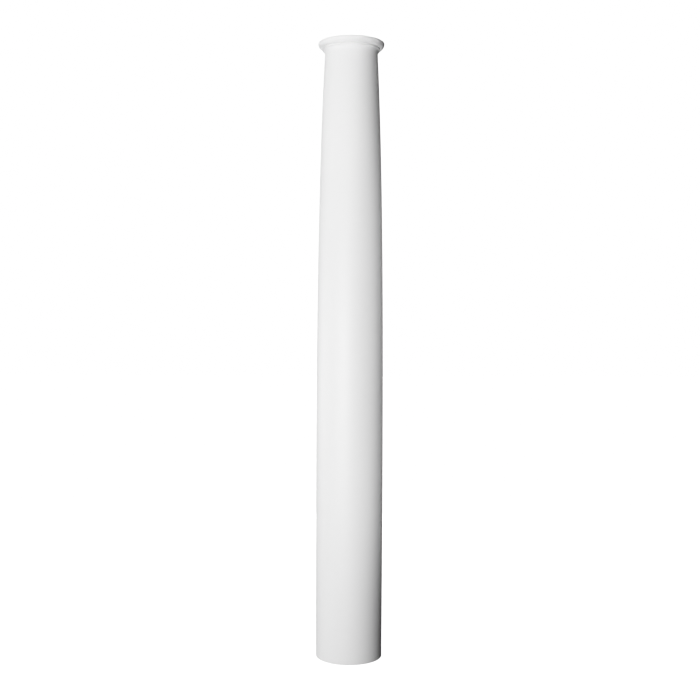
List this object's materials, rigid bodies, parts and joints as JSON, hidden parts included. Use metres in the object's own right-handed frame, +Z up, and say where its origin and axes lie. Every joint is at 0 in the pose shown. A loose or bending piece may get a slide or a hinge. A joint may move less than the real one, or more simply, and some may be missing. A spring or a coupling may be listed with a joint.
{
  "type": "doric column shaft",
  "caption": "Plain round Doric column shaft with entasis, a hollow and fillet at the neck and a rounded collar; stands between a base and a capital.",
  "frame": {"origin": "centre of the flat foot, on the surface the shaft stands on", "axes": "+Z up the axis of the column; +X and +Y are arbitrary, because the shaft is round"},
  "size_m": [0.22, 0.22, 2.02],
  "materials": {
    "white_primed_moulding": "smooth white-primed moulded rigid foam, low sheen, evenly coated"
  },
  "bodies": {
    "root": {"column_shaft": "white_primed_moulding"}
  },
  "joints": []
}
